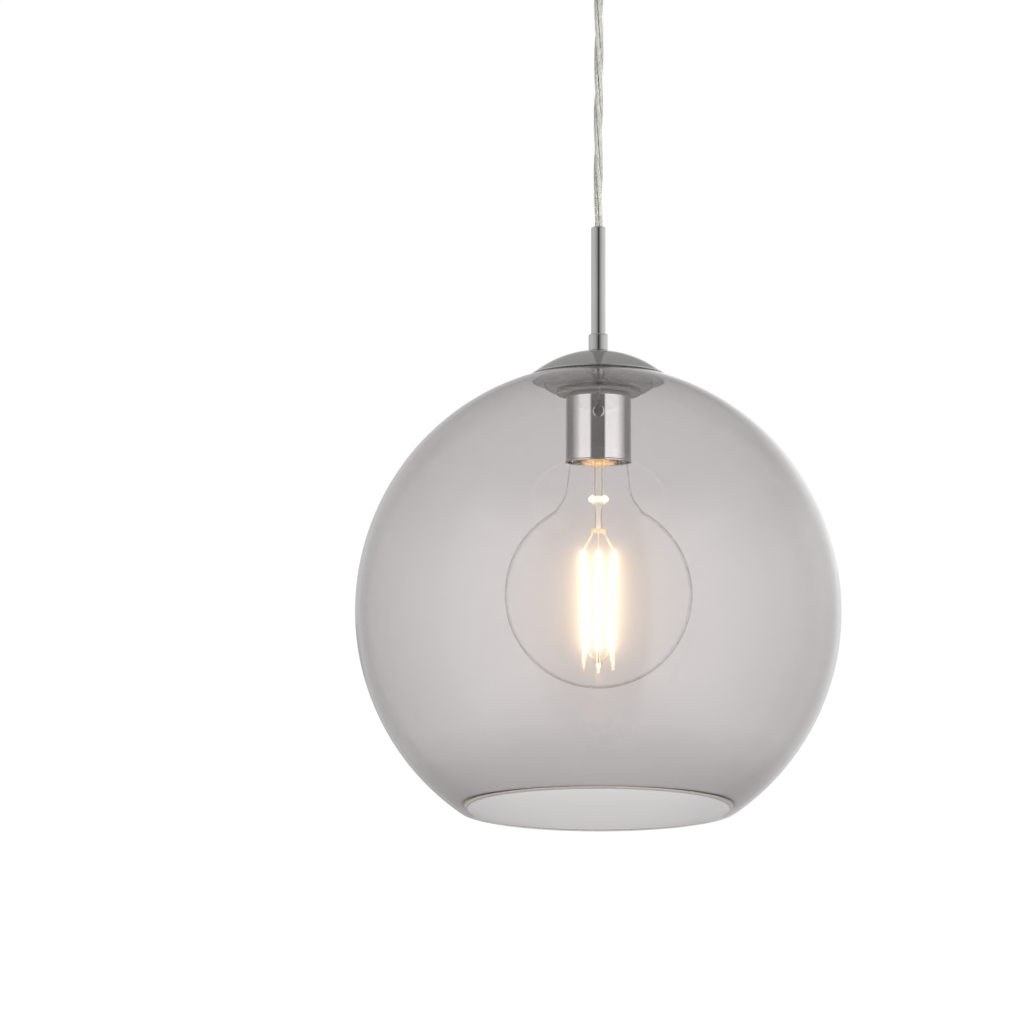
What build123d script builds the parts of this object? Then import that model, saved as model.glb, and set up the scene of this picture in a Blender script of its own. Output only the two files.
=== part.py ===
from build123d import *

import math
import os

# Pendant ceiling light: a clear glass globe hung on a clear flex under a chrome ceiling rose.
# +Z is up. The origin is the centre of the ceiling bracket's upper face, so the light hangs below it.
# Heights of the hanging parts are counted from the centre of the glass globe.

os.makedirs("parts", exist_ok=True)

# ---- driving dimensions, in mm ----
globe_radius = 150.0        # widest radius of the glass
globe_top_half = 152.5      # half height of the upper half's ellipse
globe_low_half = 151.0      # half height of the lower half's ellipse
glass_wall = 2.5
drop = 437.0                # ceiling to globe centre
flex_radius = 3.0
core_radius = 1.0
rose_radius = 50.0
rose_depth = 28.0
sheet = 1.0                 # thickness of the spun chrome shells
slack = 0.05                # gap round a thread or a sliding fit
nipple_radius = 5.0         # M10 x 1 hollow threaded rod
nipple_bore = 3.5
nut_across = 14.0
nut_height = 3.0
m3_radius = 1.5

# heights below the ceiling of the hanging parts, from the globe's centre
mid = -drop
dome_apex = mid + 162.5
dome_sphere = 65.0
dome_radius = 41.9
collar_radius = 6.25
collar_top = mid + 172.7
stem_radius = 4.65
stem_bore = 3.45
stem_top = mid + 239.6
stem_seat = collar_top - 3.0
cup_radius = 20.4
cup_wall = 0.8
cup_top = mid + 135.8
cup_mouth = mid + 92.8
cup_lip_radius = 21.0
rim_height = mid - 123.6

# the bowl sunk in the glass's top, where it is clamped
bowl_floor = mid + 139.5
bowl_floor_radius = 26.0
glass_hole = 13.0
bowl_shoulder = 40.0        # radius where the bowl meets the globe
bowl_middle = (34.0, 144.2)
rim_round = 1.2             # how far the fire-polished rim bulges
wall_spans = 8              # spans of the smooth curve through each half ellipse
glass_cuts = 6              # upright planes that cut the glass into sectors
glass_rings = (mid + 137.0, mid + 85.0, mid + 15.0, mid - 60.0)  # level planes that cut it into rings

# lamp, E27, 120 mm class
lamp_mid = mid + 10.3
lamp_radius = 58.7
lamp_wall = 1.0
lamp_tip = mid + 122.0
cap_radius = 13.1
cap_top = lamp_tip - 5.0
cap_low = lamp_tip - 22.0

# flex pivot inside the cord grip's bell mouth
pivot = -rose_depth - 7.0
pivot_ball = 2.7
pivot_gap = 3.1             # from the pivot to the flat end of the flex above and below it
flex_socket = 5.0           # how far the hanging flex enters the stem
twist_gap = 0.4


def make_tube(label, inner, outer, low, high):
    """A plain rod, ring or tube about the drop axis, written as its own piece."""
    with BuildPart() as tube:
        with BuildSketch(Plane.XY.offset(low)):
            Circle(outer)
            if inner > 0:
                Circle(inner, mode=Mode.SUBTRACT)
        extrude(amount=high - low)
    tube.part.label = label
    export_step(tube.part, f"parts/{label}.step")


def make_nut(label, low):
    """An M10 hexagon nut about the drop axis, with its corners rounded off."""
    with BuildPart() as nut:
        with BuildSketch(Plane.XY.offset(low)):
            RegularPolygon(nut_across / 2, 6, major_radius=False)
            Circle(nipple_radius + slack, mode=Mode.SUBTRACT)
        extrude(amount=nut_height)
        chamfer(nut.edges().filter_by(GeomType.LINE).filter_by(Axis.Z), length=0.6)
    nut.part.label = label
    export_step(nut.part, f"parts/{label}.step")


def make_core(label, points, bend):
    """An insulated core of the flex: straight runs joined by arcs of one radius."""
    with BuildPart() as core:
        with BuildLine() as route:
            FilletPolyline(*points, radius=bend)
        with BuildSketch(Plane(origin=route.line @ 0, z_dir=route.line % 0)):
            Circle(core_radius)
        sweep(path=route.line)
    core.part.label = label
    export_step(core.part, f"parts/{label}.step")


# ---- ceiling bracket ----
strap_half = 46.0
strap_width = 20.0
strap_sheet = 1.5
ear_drop = 12.0
side_screw_height = -7.0
slot_spacing = 68.0
slot_length = 12.0
slot_width = 4.5
earth_x = 21.5

with BuildPart() as ceiling_bracket:
    with BuildSketch(Plane.XY.offset(-strap_sheet)):
        Rectangle(2 * strap_half, strap_width)
        with GridLocations(slot_spacing, 0, 2, 1):
            SlotOverall(slot_length, slot_width, mode=Mode.SUBTRACT)
        with Locations((earth_x, 0), (0, 0)):
            Circle(m3_radius + slack, mode=Mode.SUBTRACT)
    extrude(amount=strap_sheet)
    with BuildSketch(Plane.XY.offset(-ear_drop)):
        with GridLocations(2 * strap_half - strap_sheet, 0, 2, 1):
            Rectangle(strap_sheet, strap_width)
    extrude(amount=ear_drop - strap_sheet)
    with BuildSketch(Plane.YZ.offset(-strap_half)):
        with Locations((0, side_screw_height)):
            Circle(m3_radius + slack)
    extrude(amount=2 * strap_half, mode=Mode.SUBTRACT)
ceiling_bracket.part.label = "ceiling_bracket"
export_step(ceiling_bracket.part, "parts/ceiling_bracket.step")

# ---- ceiling rose: a spun cup, open at the ceiling ----
rose_edge = 7.0
grip_hole = nipple_radius + 0.2

with BuildPart() as ceiling_rose:
    with BuildSketch(Plane.XY.offset(-rose_depth)):
        Circle(rose_radius)
    extrude(amount=rose_depth)
    fillet(ceiling_rose.edges().filter_by(GeomType.CIRCLE).sort_by(Axis.Z)[0], rose_edge)
    offset(amount=-sheet, openings=ceiling_rose.faces().sort_by(Axis.Z)[-1])
    with BuildSketch(Plane.XY.offset(-rose_depth)):
        Circle(grip_hole)
    extrude(amount=2 * sheet, mode=Mode.SUBTRACT)
    with BuildSketch(Plane.YZ.offset(-rose_radius)):
        with Locations((0, side_screw_height)):
            Circle(m3_radius + 0.2)
    extrude(amount=2 * rose_radius, mode=Mode.SUBTRACT)
ceiling_rose.part.label = "ceiling_rose"
export_step(ceiling_rose.part, "parts/ceiling_rose.step")

# ---- two thumb screws that hold the rose on the bracket's ears ----
thumb_radius = 4.0
thumb_head = 4.0
thumb_shaft = 7.5

with BuildPart() as rose_screws:
    with BuildSketch(Plane.YZ.offset(rose_radius)):
        with Locations((0, side_screw_height)):
            Circle(thumb_radius)
    extrude(amount=thumb_head)
    chamfer(rose_screws.edges().filter_by(GeomType.CIRCLE).sort_by(Axis.X)[-1], length=0.6)
    with BuildSketch(Plane.YZ.offset(rose_radius)):
        with Locations((0, side_screw_height)):
            Circle(m3_radius)
    extrude(amount=-thumb_shaft)
    mirror(about=Plane.YZ)
rose_screws.part.label = "rose_screws"
export_step(rose_screws.part, "parts/rose_screws.step")

# ---- cord grip: a bell-mouthed bush with a spigot through the rose ----
grip_radius = 8.5
grip_length = 12.0
grip_bottom = -rose_depth - grip_length
spigot_top = -rose_depth + 8.0
grip_bore = flex_radius + slack
bell_top = pivot + 3.4
bell_neck = 4.7
bell_mouth = 6.8
grip_screw_height = -rose_depth - 2.2
grip_slot = (2.2, 0.6, 1.2)     # length, width and depth of the grip screw's slot

with BuildPart() as cord_grip_body:
    with BuildSketch(Plane.XZ) as grip_profile:
        with BuildLine():
            Polyline(
                (grip_bore, spigot_top),
                (nipple_radius, spigot_top),
                (nipple_radius, -rose_depth),
                (grip_radius, -rose_depth),
                (grip_radius, grip_bottom),
                (bell_mouth, grip_bottom),
                (bell_neck, pivot + 1.2),
                (bell_neck, bell_top),
                (grip_bore, bell_top),
                close=True,
            )
        make_face()
        outer_corner = grip_profile.vertices().group_by(Axis.X)[-1].sort_by(Axis.Y)[0]
        fillet(outer_corner, radius=1.5)
    revolve(axis=Axis.Z)
    with BuildSketch(Plane.XZ.offset(grip_radius)):
        with Locations((0, grip_screw_height)):
            Circle(m3_radius + slack)
    extrude(amount=-grip_radius, mode=Mode.SUBTRACT)
cord_grip_body.part.label = "cord_grip_body"
export_step(cord_grip_body.part, "parts/cord_grip_body.step")

make_nut("cord_grip_nut", -rose_depth + sheet)

with BuildPart() as cord_grip_screw:
    with BuildSketch(Plane.XZ.offset(flex_radius)):
        with Locations((0, grip_screw_height)):
            Circle(m3_radius)
    extrude(amount=grip_radius - flex_radius)
    with BuildSketch(Plane.XZ.offset(grip_radius - grip_slot[2])):
        with Locations((0, grip_screw_height)):
            Rectangle(grip_slot[0], grip_slot[1])
    extrude(amount=grip_slot[2], mode=Mode.SUBTRACT)
cord_grip_screw.part.label = "cord_grip_screw"
export_step(cord_grip_screw.part, "parts/cord_grip_screw.step")

# ---- two-way terminal block under the bracket ----
block_length = 20.0
block_width = 15.0
block_height = 11.0
way_spacing = 9.0
way_height = -strap_sheet - 5.0
sleeve_outer = 2.0
sleeve_bore = 1.35
clamp_spacing = 7.0
clamp_radius = 1.2
clamp_slot = (1.8, 0.4, 0.7)    # length, width and depth of a terminal screw's slot
block_low = -strap_sheet - block_height

with BuildPart() as terminal_block:
    with BuildSketch(Plane.XY.offset(block_low)):
        RectangleRounded(block_length, block_width, 1.5)
        Circle(m3_radius + 0.1, mode=Mode.SUBTRACT)
    extrude(amount=block_height)
    with BuildSketch(Plane.XZ.offset(-block_width / 2)):
        with Locations((0, way_height)):
            with GridLocations(way_spacing, 0, 2, 1):
                Circle(sleeve_outer + slack)
    extrude(amount=block_width, mode=Mode.SUBTRACT)
    with BuildSketch(Plane.XY.offset(block_low)):
        with GridLocations(way_spacing, clamp_spacing, 2, 2):
            Circle(clamp_radius + 0.4)
    extrude(amount=way_height - block_low, mode=Mode.SUBTRACT)
terminal_block.part.label = "terminal_block"
export_step(terminal_block.part, "parts/terminal_block.step")

with BuildPart() as terminal_sleeves:
    with BuildSketch(Plane.XZ.offset(-block_width / 2 + 0.5)):
        with Locations((0, way_height)):
            with GridLocations(way_spacing, 0, 2, 1):
                Circle(sleeve_outer)
                Circle(sleeve_bore, mode=Mode.SUBTRACT)
    extrude(amount=block_width - 1.0)
    with BuildSketch(Plane.XY.offset(block_low)):
        with GridLocations(way_spacing, clamp_spacing, 2, 2):
            Circle(clamp_radius + slack)
    extrude(amount=way_height - block_low, mode=Mode.SUBTRACT)
terminal_sleeves.part.label = "terminal_sleeves"
export_step(terminal_sleeves.part, "parts/terminal_sleeves.step")

with BuildPart() as terminal_screws:
    with BuildSketch(Plane.XY.offset(block_low + 0.8)):
        with GridLocations(way_spacing, clamp_spacing, 2, 2):
            Circle(clamp_radius)
    extrude(amount=way_height - core_radius - 0.1 - block_low - 0.8)
    with BuildSketch(Plane.XY.offset(block_low + 0.8)):
        with GridLocations(way_spacing, clamp_spacing, 2, 2):
            Rectangle(clamp_slot[0], clamp_slot[1])
    extrude(amount=clamp_slot[2], mode=Mode.SUBTRACT)
terminal_screws.part.label = "terminal_screws"
export_step(terminal_screws.part, "parts/terminal_screws.step")


def pan_screw(head_radius, head_height, length):
    """A pan-head M3 screw's half profile, head downwards, its head's upper face at zero."""
    with BuildSketch(Plane.XZ) as profile:
        with BuildLine():
            Polyline(
                (0, -head_height),
                (head_radius - 0.5, -head_height),
                (head_radius, -head_height + 0.5),
                (head_radius, 0),
                (m3_radius, 0),
                (m3_radius, length),
                (0, length),
                close=True,
            )
        make_face()
    return profile.sketch


with BuildPart() as terminal_block_screw:
    add(Plane.XY.offset(block_low) * pan_screw(2.6, 1.8, block_height + strap_sheet - 0.2))
    revolve(axis=Axis.Z)
terminal_block_screw.part.label = "terminal_block_screw"
export_step(terminal_block_screw.part, "parts/terminal_block_screw.step")

# ---- earth connection on the bracket ----
lug_sheet = 0.8
lug_radius = 3.4
lug_tail = 6.5
lug_tail_width = 2.4
earth_head = 2.8
earth_head_height = 1.8

with BuildPart() as earth_lug:
    with BuildSketch(Plane.XY.offset(-strap_sheet - lug_sheet)):
        with Locations((earth_x, 0)):
            Circle(lug_radius)
        with Locations((earth_x, -lug_radius - lug_tail / 2 + 1.0)):
            Rectangle(lug_tail_width, lug_tail)
        with Locations((earth_x, 0)):
            Circle(m3_radius + 0.1, mode=Mode.SUBTRACT)
    extrude(amount=lug_sheet)
earth_lug.part.label = "earth_lug"
export_step(earth_lug.part, "parts/earth_lug.step")

with BuildPart() as earth_screw:
    with BuildSketch(Plane.XY.offset(-strap_sheet - lug_sheet - earth_head_height)):
        with Locations((earth_x, 0)):
            Circle(earth_head)
    extrude(amount=earth_head_height)
    with BuildSketch(Plane.XY.offset(-strap_sheet - lug_sheet)):
        with Locations((earth_x, 0)):
            Circle(m3_radius)
    extrude(amount=strap_sheet + lug_sheet - 0.1)
earth_screw.part.label = "earth_screw"
export_step(earth_screw.part, "parts/earth_screw.step")

# ---- flex: the end in the grip, the ball at the bend and the hanging length ----
flex_end = spigot_top
make_tube("flex_top", 0, flex_radius, pivot + pivot_gap, flex_end)

with BuildPart() as flex_bend:
    with BuildSketch(Plane.XZ) as ball_profile:
        with Locations((0, pivot)):
            Circle(pivot_ball)
            Rectangle(2 * pivot_ball, 2 * pivot_ball, align=(Align.MAX, Align.CENTER), mode=Mode.SUBTRACT)
    revolve(axis=Axis.Z)
flex_bend.part.label = "flex_bend"
export_step(flex_bend.part, "parts/flex_bend.step")

flex_low = stem_top - flex_socket
make_tube("flex_drop", 0, flex_radius, flex_low, pivot - pivot_gap)

# ---- cores between the flex's end and the terminals in the rose ----
core_pitch = 1.25           # how far the cores lie from the flex's axis
core_side = core_pitch * math.cos(math.radians(30))
core_back = core_pitch * math.sin(math.radians(30))
core_bend = 2.6

for side, label in ((-1, "upper_live_core"), (1, "upper_neutral_core")):
    make_core(
        label,
        [
            (side * core_side, -core_back, flex_end),
            (side * core_side, -core_back, flex_end + 4.4),
            (side * way_spacing / 2, -14.5, flex_end + 4.4),
            (side * way_spacing / 2, -14.5, way_height),
            (side * way_spacing / 2, -1.0, way_height),
        ],
        core_bend,
    )

make_core(
    "upper_earth_core",
    [
        (0, core_pitch, flex_end),
        (0, core_pitch, flex_end + 4.6),
        (earth_x - 4.0, 6.0, flex_end + 6.0),
        (earth_x, -12.0, flex_end + 6.0),
        (earth_x, -12.0, -strap_sheet - lug_sheet - core_radius),
        (earth_x, -4.4, -strap_sheet - lug_sheet - core_radius),
    ],
    core_bend,
)

# ---- stem tube and collar ----
make_tube("stem_tube", stem_bore, stem_radius, stem_seat, stem_top)

bush_low = stem_seat - 3.2
bush_outer = 4.6

with BuildPart() as stem_collar:
    with BuildSketch(Plane.XY.offset(dome_apex)):
        Circle(collar_radius)
    extrude(amount=collar_top - dome_apex)
    chamfer(stem_collar.edges().filter_by(GeomType.CIRCLE), length=0.4)
    with BuildSketch(Plane.XY.offset(dome_apex)):
        Circle(nipple_radius + slack)
    extrude(amount=bush_low - dome_apex, mode=Mode.SUBTRACT)
    with BuildSketch(Plane.XY.offset(bush_low)):
        Circle(stem_radius)
    extrude(amount=collar_top - bush_low, mode=Mode.SUBTRACT)
stem_collar.part.label = "stem_collar"
export_step(stem_collar.part, "parts/stem_collar.step")

make_tube("cord_clamp_bush", flex_radius, bush_outer, bush_low, stem_seat)

nipple_low = cup_top - 5.5
make_tube("threaded_nipple", nipple_bore, nipple_radius, nipple_low, bush_low)
make_tube("flex_tail", 0, flex_radius, nipple_low + 1.5, flex_low - twist_gap)

# ---- dome cap: a shallow spun cap over the glass's bowl ----
dome_mid = dome_apex - dome_sphere
dome_hole = nipple_radius + 0.15


def cap_height(radius, sphere):
    """Height of a sphere about the dome's centre, at a radius from the axis."""
    return dome_mid + math.sqrt(sphere ** 2 - radius ** 2)


with BuildPart() as dome_cap:
    with BuildSketch(Plane.XZ):
        with BuildLine():
            inner_sphere = dome_sphere - sheet
            rim_low = cap_height(dome_radius, dome_sphere)
            outer = RadiusArc(
                (dome_hole, cap_height(dome_hole, dome_sphere)), (dome_radius, rim_low), dome_sphere
            )
            inner = RadiusArc(
                (dome_hole, cap_height(dome_hole, inner_sphere)),
                (dome_radius - sheet, cap_height(dome_radius - sheet, inner_sphere)),
                inner_sphere,
            )
            Line(outer @ 1, inner @ 1)
            Line(outer @ 0, inner @ 0)
        make_face()
    revolve(axis=Axis.Z)
dome_cap.part.label = "dome_cap"
export_step(dome_cap.part, "parts/dome_cap.step")

make_nut("dome_nut", cap_height(nut_across / 2 / math.cos(math.pi / 6), inner_sphere) - nut_height)

# ---- glass globe: two half ellipses, open below, with a sunk bowl at the top ----


def draw_wall_face(inset):
    """Draw the glass's outer face, or its inner face when inset by the wall; return its two ends."""
    radius = globe_radius - inset

    def quarter(half, end_height):
        """Points and end direction of a half ellipse, from the widest ring to a height."""
        end_angle = math.asin((end_height - mid) / half)
        angles = [end_angle * step / wall_spans for step in range(wall_spans + 1)]
        points = [(radius * math.cos(angle), mid + half * math.sin(angle)) for angle in angles]
        leave = Vector(-radius * math.sin(end_angle), half * math.cos(end_angle)).normalized()
        return points, leave if end_angle > 0 else -leave

    top_half = globe_top_half - inset
    shoulder_radius = bowl_shoulder + inset
    shoulder_height = mid + top_half * math.sqrt(1 - (shoulder_radius / radius) ** 2)
    top_points, top_leave = quarter(top_half, shoulder_height)
    low_points, low_leave = quarter(globe_low_half - inset, rim_height + rim_round)
    top = Spline(*top_points, tangents=((0, 1), top_leave))
    low = Spline(*low_points, tangents=((0, -1), low_leave))
    bowl = Spline(
        top @ 1,
        (bowl_middle[0] + inset / 2, mid + bowl_middle[1] - inset),
        (bowl_floor_radius, bowl_floor - inset),
        tangents=(top_leave, (-1, 0)),
    )
    floor = Line(bowl @ 1, (glass_hole, bowl_floor - inset))
    return low @ 1, floor @ 1


with BuildPart() as glass_globe:
    with BuildSketch(Plane.XZ):
        with BuildLine():
            outer_rim, outer_hole = draw_wall_face(0)
            inner_rim, inner_hole = draw_wall_face(glass_wall)
            Line(outer_hole, inner_hole)
            ThreePointArc(outer_rim, (outer_rim + inner_rim) / 2 - Vector(0, rim_round), inner_rim)
        make_face()
    revolve(axis=Axis.Z)
    # touching solids, each curved so little that one hull follows it and leaves the globe open
    for ring_height in glass_rings:
        split(bisect_by=Plane.XY.offset(ring_height), keep=Keep.BOTH)
    for cut in range(glass_cuts):
        split(bisect_by=Plane.XZ.rotated((0, 0, 180 * cut / glass_cuts)), keep=Keep.BOTH)
glass_globe.part.label = "glass_globe"
export_step(glass_globe.part, "parts/glass_globe.step")

# ---- pieces that clamp the glass between the cup and a nut in the bowl ----
seal_sheet = 1.2
seal_radius = 26.2
upper_seal_radius = 20.0
washer_radius = 16.0
washer_sheet = 1.5
washer_bore = nipple_radius + 0.15

make_tube("lower_seal", washer_bore, seal_radius, cup_top, cup_top + seal_sheet)
make_tube("upper_seal", washer_bore, upper_seal_radius, bowl_floor, bowl_floor + seal_sheet)
make_tube(
    "clamp_washer",
    washer_bore,
    washer_radius,
    bowl_floor + seal_sheet,
    bowl_floor + seal_sheet + washer_sheet,
)
make_nut("clamp_nut", bowl_floor + seal_sheet + washer_sheet)

# ---- lamp cup: a chrome cup over the lamp holder, with a small turned lip ----
cup_shoulder = 3.0
lip_height = 1.2
cup_screw_height = mid + 122.2
cup_screw_radius = 3.7
cup_screw_head = 1.6
cup_screw_round = 1.0
cross_slot = (4.4, 0.8)         # length and width of each slot of the cross
cross_depth = 0.9

with BuildPart() as lamp_cup:
    with BuildSketch(Plane.XZ):
        with BuildLine():
            inner_radius = cup_radius - cup_wall
            inner_top = cup_top - cup_wall
            Polyline(
                (washer_bore, inner_top),
                (washer_bore, cup_top),
                (cup_radius - cup_shoulder, cup_top),
            )
            RadiusArc(
                (cup_radius - cup_shoulder, cup_top),
                (cup_radius, cup_top - cup_shoulder),
                cup_shoulder,
            )
            Polyline(
                (cup_radius, cup_top - cup_shoulder),
                (cup_radius, cup_mouth + lip_height),
                (cup_lip_radius, cup_mouth + lip_height / 2),
                (cup_lip_radius, cup_mouth),
                (inner_radius, cup_mouth),
                (inner_radius, cup_top - cup_shoulder),
            )
            RadiusArc(
                (inner_radius, cup_top - cup_shoulder),
                (inner_radius - cup_shoulder + cup_wall, inner_top),
                -(cup_shoulder - cup_wall),
            )
            Line((inner_radius - cup_shoulder + cup_wall, inner_top), (washer_bore, inner_top))
        make_face()
    revolve(axis=Axis.Z)
    with BuildSketch(Plane.XZ.offset(cup_radius - 2 * cup_wall)):
        with Locations((0, cup_screw_height)):
            Circle(m3_radius + 0.1)
    extrude(amount=3 * cup_wall, mode=Mode.SUBTRACT)
lamp_cup.part.label = "lamp_cup"
export_step(lamp_cup.part, "parts/lamp_cup.step")

# ---- lamp holder bracket: a strap under the cup's top, clamped by the cup nut ----
strap_top = cup_top - cup_wall
holder_strap = 1.2
boss_spacing = 24.0
screw_hole = m3_radius + 0.1
sink_radius = screw_hole + holder_strap

with BuildPart() as holder_bracket:
    with BuildSketch(Plane.XY.offset(strap_top - holder_strap)):
        SlotOverall(boss_spacing + 9.0, 15.0, rotation=90)
        Circle(washer_bore, mode=Mode.SUBTRACT)
    extrude(amount=holder_strap)
    with Locations((0, -boss_spacing / 2, strap_top), (0, boss_spacing / 2, strap_top)):
        CounterSinkHole(screw_hole, sink_radius, depth=holder_strap, counter_sink_angle=90)
holder_bracket.part.label = "holder_bracket"
export_step(holder_bracket.part, "parts/holder_bracket.step")

make_nut("cup_nut", strap_top - holder_strap - nut_height)

# ---- lamp holder: a porcelain body with a threaded shell, a centre contact and two terminals ----
holder_radius = 17.5
holder_top = cup_top - 5.8
holder_low = mid + 101.0
shell_outer = 14.2
shell_sheet = 0.6
shell_top = lamp_tip + 0.1
pocket_floor = holder_top - 4.0
wire_pocket = 7.5
terminal_x = 11.6
terminal_size = (4.6, 7.0, 3.4)
boss_radius = 3.4
contact_sheet = 0.6

with BuildPart() as holder_body:
    with BuildSketch(Plane.XY.offset(holder_low)):
        Circle(holder_radius)
    extrude(amount=holder_top - holder_low)
    chamfer(holder_body.edges().filter_by(GeomType.CIRCLE), length=0.8)
    with BuildSketch(Plane.XY.offset(holder_top - 2.0)):
        with GridLocations(0, boss_spacing, 1, 2):
            Circle(boss_radius)
    extrude(amount=strap_top - holder_strap - holder_top + 2.0)
    with BuildSketch(Plane.XY.offset(holder_low)):
        Circle(shell_outer + slack)
    extrude(amount=shell_top + contact_sheet + slack - holder_low, mode=Mode.SUBTRACT)
    with BuildSketch(Plane.XY.offset(pocket_floor)):
        Circle(wire_pocket)
        with GridLocations(2 * terminal_x, 0, 2, 1):
            Rectangle(terminal_size[0] + 0.2, terminal_size[1] + 0.2)
        Rectangle(2 * terminal_x, 3.0)
    extrude(amount=holder_top - pocket_floor, mode=Mode.SUBTRACT)
    with BuildSketch(Plane.XY.offset(pocket_floor)):
        with GridLocations(0, boss_spacing, 1, 2):
            Circle(m3_radius + slack)
    extrude(amount=strap_top - pocket_floor, mode=Mode.SUBTRACT)
    with BuildSketch(Plane.XZ.offset(holder_radius - 2.4)):
        with Locations((0, cup_screw_height)):
            Circle(m3_radius + slack)
    extrude(amount=2 * sheet + 1.0, mode=Mode.SUBTRACT)
holder_body.part.label = "holder_body"
export_step(holder_body.part, "parts/holder_body.step")

with BuildPart() as holder_screws:
    with BuildSketch(Plane.XZ.offset(boss_spacing / 2)):
        with BuildLine():
            Polyline(
                (0, strap_top - 0.05),
                (sink_radius - 0.15, strap_top - 0.05),
                (m3_radius, strap_top - holder_strap),
                (m3_radius, pocket_floor + 0.3),
                (0, pocket_floor + 0.3),
                close=True,
            )
        make_face()
    revolve(axis=Axis((0, -boss_spacing / 2, 0), (0, 0, 1)))
    mirror(about=Plane.XZ)
holder_screws.part.label = "holder_screws"
export_step(holder_screws.part, "parts/holder_screws.step")

with BuildPart() as cup_screw:
    with BuildSketch(Plane.XZ.offset(cup_radius)):
        with Locations((0, cup_screw_height)):
            Circle(cup_screw_radius)
    extrude(amount=cup_screw_head)
    fillet(cup_screw.edges().filter_by(GeomType.CIRCLE).sort_by(Axis.Y)[0], radius=cup_screw_round)
    with BuildSketch(Plane.XZ.offset(holder_radius - 2.2)):
        with Locations((0, cup_screw_height)):
            Circle(m3_radius)
    extrude(amount=cup_radius - holder_radius + 2.2)
    with BuildSketch(Plane.XZ.offset(cup_radius + cup_screw_head - cross_depth)):
        with Locations((0, cup_screw_height)):
            Rectangle(cross_slot[0], cross_slot[1])
            Rectangle(cross_slot[1], cross_slot[0])
    extrude(amount=cross_depth, mode=Mode.SUBTRACT)
cup_screw.part.label = "cup_screw"
export_step(cup_screw.part, "parts/cup_screw.step")

with BuildPart() as holder_shell:
    with BuildSketch(Plane.XY.offset(cap_low + 3.0)):
        Circle(shell_outer)
    extrude(amount=shell_top - cap_low - 3.0)
    with BuildSketch(Plane.XY.offset(cap_low + 3.0)):
        Circle(shell_outer - shell_sheet)
    extrude(amount=shell_top - shell_sheet - cap_low - 3.0, mode=Mode.SUBTRACT)
    with BuildSketch(Plane.XY.offset(shell_top - shell_sheet)):
        Circle(7.5)
    extrude(amount=shell_sheet, mode=Mode.SUBTRACT)
holder_shell.part.label = "holder_shell"
export_step(holder_shell.part, "parts/holder_shell.step")

make_tube("holder_contact", 0, 5.5, shell_top, shell_top + contact_sheet)

clamp_screw_y = 2.0

with BuildPart() as holder_terminals:
    with BuildSketch(Plane.XY.offset(pocket_floor)):
        with GridLocations(2 * terminal_x, 0, 2, 1):
            Rectangle(terminal_size[0], terminal_size[1])
        with GridLocations(2 * terminal_x, 2 * clamp_screw_y, 2, 2):
            Circle(clamp_radius - 0.2, mode=Mode.SUBTRACT)
    extrude(amount=terminal_size[2])
    with BuildSketch(Plane.YZ.offset(-terminal_x - terminal_size[0])):
        with Locations((0, pocket_floor + 2.0)):
            Circle(core_radius + slack)
    extrude(amount=2 * (terminal_x + terminal_size[0]), mode=Mode.SUBTRACT)
holder_terminals.part.label = "holder_terminals"
export_step(holder_terminals.part, "parts/holder_terminals.step")

with BuildPart() as holder_terminal_screws:
    with BuildSketch(Plane.XY.offset(pocket_floor + 0.4)):
        with GridLocations(2 * terminal_x, 2 * clamp_screw_y, 2, 2):
            Circle(clamp_radius - 0.2 - slack)
    extrude(amount=terminal_size[2] - 0.6)
holder_terminal_screws.part.label = "holder_terminal_screws"
export_step(holder_terminal_screws.part, "parts/holder_terminal_screws.step")

# ---- cores between the flex's lower end and the holder ----
tail_low = nipple_low + 1.5
core_run = pocket_floor + 2.0

for side, label in ((-1, "lower_live_core"), (1, "lower_neutral_core")):
    make_core(
        label,
        [
            (side * core_side, -core_back, tail_low),
            (side * core_side, -core_back, core_run + 1.6),
            (side * terminal_x / 2, 0, core_run),
            (side * (terminal_x + 1.5), 0, core_run),
        ],
        1.8,
    )

tag_y = 5.9

make_core(
    "lower_earth_core",
    [
        (0, core_pitch, tail_low),
        (0, core_pitch, core_run + 1.0),
        (0, tag_y, core_run + 1.0),
    ],
    1.8,
)

# ---- lamp: glass envelope ----
neck_top = cap_low + 3.0
neck_radius = 12.4
neck_joint = 61.5           # degrees above the ball's widest ring where the neck begins


def envelope_face(inset):
    """The half section inside the envelope's outer face, or inside its inner face."""
    radius = lamp_radius - inset
    joint_angle = math.radians(neck_joint)
    joint = (radius * math.cos(joint_angle), lamp_mid + radius * math.sin(joint_angle))
    leave = (math.sin(joint_angle), -math.cos(joint_angle))
    with BuildSketch(Plane.XZ) as section:
        with BuildLine():
            Polyline((0, neck_top), (neck_radius - inset, neck_top), (neck_radius - inset, cap_low))
            Spline(
                (neck_radius - inset, cap_low),
                (15.6 - inset, mid + 96.6),
                (18.2 - inset, mid + 92.0),
                (19.2 - inset, mid + 84.0),
                (21.4 - inset, mid + 71.6),
                joint,
                tangents=((0, -1), leave),
            )
            CenterArc((0, lamp_mid), radius, neck_joint, -90 - neck_joint)
            Line((0, lamp_mid - radius), (0, neck_top))
        make_face()
    return section.sketch


with BuildPart() as lamp_envelope:
    with BuildSketch(Plane.XZ):
        add(envelope_face(0))
        add(envelope_face(lamp_wall), mode=Mode.SUBTRACT)
    revolve(axis=Axis.Z)
    # two touching solids, the ball and the neck, so that each one's hull follows its shape
    neck_level = lamp_mid + lamp_radius * math.sin(math.radians(neck_joint))
    split(bisect_by=Plane.XY.offset(neck_level), keep=Keep.BOTH)
lamp_envelope.part.label = "lamp_envelope"
export_step(lamp_envelope.part, "parts/lamp_envelope.step")

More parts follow.
